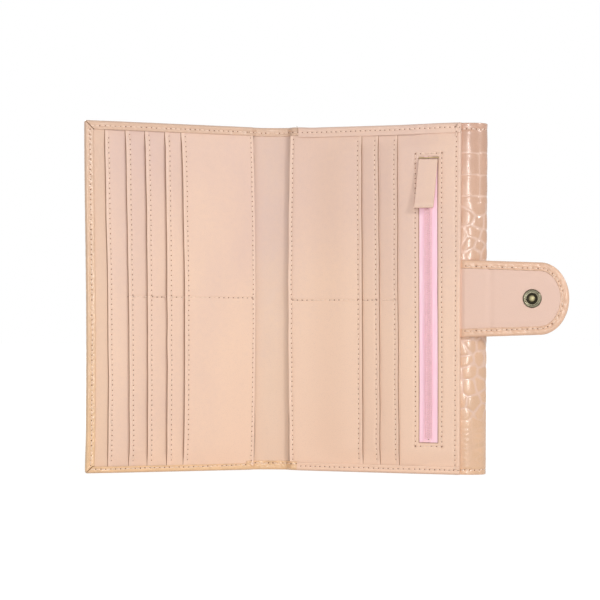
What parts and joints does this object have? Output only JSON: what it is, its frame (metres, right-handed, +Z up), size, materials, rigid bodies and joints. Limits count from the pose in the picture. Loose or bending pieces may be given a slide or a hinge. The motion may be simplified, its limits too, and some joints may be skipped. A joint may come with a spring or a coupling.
{
  "type": "coupon organizer wallet",
  "caption": "Long two-leaf wallet standing open: card slots and a zipped coin pocket inside, a gusseted coupon pocket behind one leaf, and a snap tab on its rounded fore edge.",
  "frame": {"origin": "middle of the spine's foot, on the surface that the open wallet stands on", "axes": "+Z up along the fold lines, -Y towards the reader who looks at the open pages, +X towards the leaf with the zip and the tab"},
  "size_m": [0.2585, 0.0512, 0.19],
  "materials": {
    "croc_leather": "satin",
    "smooth_leather": "matte",
    "lining_fabric": "matte",
    "board": "matte",
    "zip_tape": "matte",
    "zip_coil": "satin",
    "zip_metal": "satin",
    "snap_metal": "satin"
  },
  "bodies": {
    "spine": {"outer_cover_spine": "croc_leather", "fold_left": "croc_leather", "fold_right": "croc_leather", "spine_stiffener": "board", "spine_lining": "smooth_leather"},
    "left_leaf": {"outer_cover_left": "croc_leather", "stiffener_left": "board", "bill_lining_left": "lining_fabric", "turned_edge_left": "croc_leather", "page_left": "smooth_leather", "slip_pocket": "smooth_leather", "left_card_row_1": "smooth_leather", "left_card_row_2": "smooth_leather", "left_card_row_3": "smooth_leather", "left_front_panel": "smooth_leather", "snap_socket": "snap_metal", "socket_eyelet": "snap_metal"},
    "right_leaf": {"inner_cover_right": "croc_leather", "stiffener_right": "board", "bill_lining_right": "lining_fabric", "page_backing_right": "lining_fabric", "hem_bands_right": "smooth_leather", "fore_edge_turn": "smooth_leather", "fore_edge_filler": "smooth_leather", "zip_panel": "smooth_leather", "coin_bag": "lining_fabric", "zip_tape_inner": "zip_tape", "zip_tape_outer": "zip_tape", "zip_coil_inner": "zip_coil", "zip_coil_outer": "zip_coil", "zip_stops": "zip_coil", "right_card_row_1": "smooth_leather", "right_card_row_2": "smooth_leather", "right_front_panel": "smooth_leather", "fore_edge_wall": "croc_leather", "coupon_floor": "lining_fabric", "gusset_top": "lining_fabric", "gusset_bottom": "lining_fabric", "tab_root": "croc_leather"},
    "slider": {"zip_slider": "zip_metal"},
    "pull": {"pull_bar": "zip_metal", "zip_pull": "smooth_leather"},
    "tab_band": {"tab_fold_1": "croc_leather", "tab_band_outer": "croc_leather", "tab_band_lining": "smooth_leather"},
    "tab_end": {"tab_fold_2": "croc_leather", "tab_end_outer": "croc_leather", "tab_end_lining": "smooth_leather", "tab_stiffener": "board", "snap_stud": "snap_metal", "snap_cap": "snap_metal"},
    "coupon_back": {"coupon_fold": "croc_leather", "coupon_back_cover": "croc_leather", "coupon_back_board": "board", "coupon_back_lining": "lining_fabric"},
    "divider_1": {"coupon_divider_1": "lining_fabric"},
    "divider_2": {"coupon_divider_2": "lining_fabric"},
    "divider_3": {"coupon_divider_3": "lining_fabric"}
  },
  "joints": [
    {"name": "left_fold", "type": "hinge", "parent": "spine", "child": "left_leaf", "pos_m": [-0.00675, 0, 0], "axis": [0, 0, 1], "range_deg": [-16, 74]},
    {"name": "right_fold", "type": "hinge", "parent": "spine", "child": "right_leaf", "pos_m": [0.00675, 0, 0], "axis": [0, 0, -1], "range_deg": [-14, 76]},
    {"name": "tab_root_bend", "type": "hinge", "parent": "right_leaf", "child": "tab_band", "pos_m": [0.10349, -0.02659, 0], "axis": [0, 0, -1], "range_deg": [-5, 90]},
    {"name": "tab_wrap", "type": "hinge", "parent": "tab_band", "child": "tab_end", "pos_m": [0.11814, -0.03025, 0], "axis": [0, 0, -1], "range_deg": [-10, 90]},
    {"name": "zip_slide", "type": "slide", "parent": "right_leaf", "child": "slider", "axis": [0, 0, -1], "range_m": [0, 0.142]},
    {"name": "pull_swing", "type": "hinge", "parent": "slider", "child": "pull", "pos_m": [0.08443, -0.02514, 0.1696], "axis": [-0.9703, 0.2419, 0], "range_deg": [0, 178]},
    {"name": "coupon_open", "type": "hinge", "parent": "right_leaf", "child": "coupon_back", "pos_m": [0.10612, -0.01272, 0], "axis": [0, 0, -1], "range_deg": [0, 22], "deforming": ["gusset_top", "gusset_bottom"]},
    {"name": "divider_fan_1", "type": "hinge", "parent": "right_leaf", "child": "divider_1", "pos_m": [0.1031, -0.02114, 0], "axis": [0, 0, -1], "range_deg": [0, 6]},
    {"name": "divider_fan_2", "type": "hinge", "parent": "right_leaf", "child": "divider_2", "pos_m": [0.10373, -0.01861, 0], "axis": [0, 0, -1], "range_deg": [0, 11.5]},
    {"name": "divider_fan_3", "type": "hinge", "parent": "right_leaf", "child": "divider_3", "pos_m": [0.10436, -0.01609, 0], "axis": [0, 0, -1], "range_deg": [0, 17]}
  ],
  "couplings": [
    {"joint": "divider_fan_1", "follows": "coupon_open", "ratio": 0.25},
    {"joint": "divider_fan_2", "follows": "coupon_open", "ratio": 0.5},
    {"joint": "divider_fan_3", "follows": "coupon_open", "ratio": 0.75}
  ]
}
